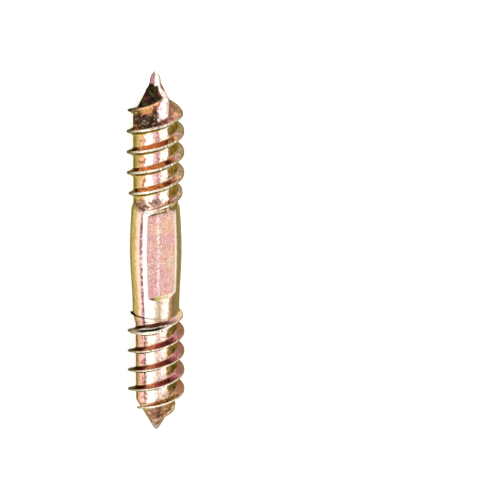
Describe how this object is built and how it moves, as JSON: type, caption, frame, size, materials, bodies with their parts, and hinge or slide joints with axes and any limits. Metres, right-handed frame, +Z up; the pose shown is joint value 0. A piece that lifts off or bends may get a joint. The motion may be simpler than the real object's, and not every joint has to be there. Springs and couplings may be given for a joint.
{
  "type": "dowel screw",
  "caption": "Headless steel dowel screw for wood: a pointed coarse thread on each end and pressed wrench flats on the bulged plain shank between them.",
  "frame": {"origin": "on the surface that the screw lies on, below its mid length", "axes": "+Y along the screw's axis towards the end with the round-crested thread, +Z up and square to the pressed wrench flats"},
  "size_m": [0.0076, 0.05, 0.0075],
  "materials": {
    "yellow_zinc_steel": "yellow-passivated zinc plating, bright, with green, gold, pink and brown tints"
  },
  "bodies": {
    "root": {"dowel_screw": "yellow_zinc_steel"}
  },
  "joints": []
}
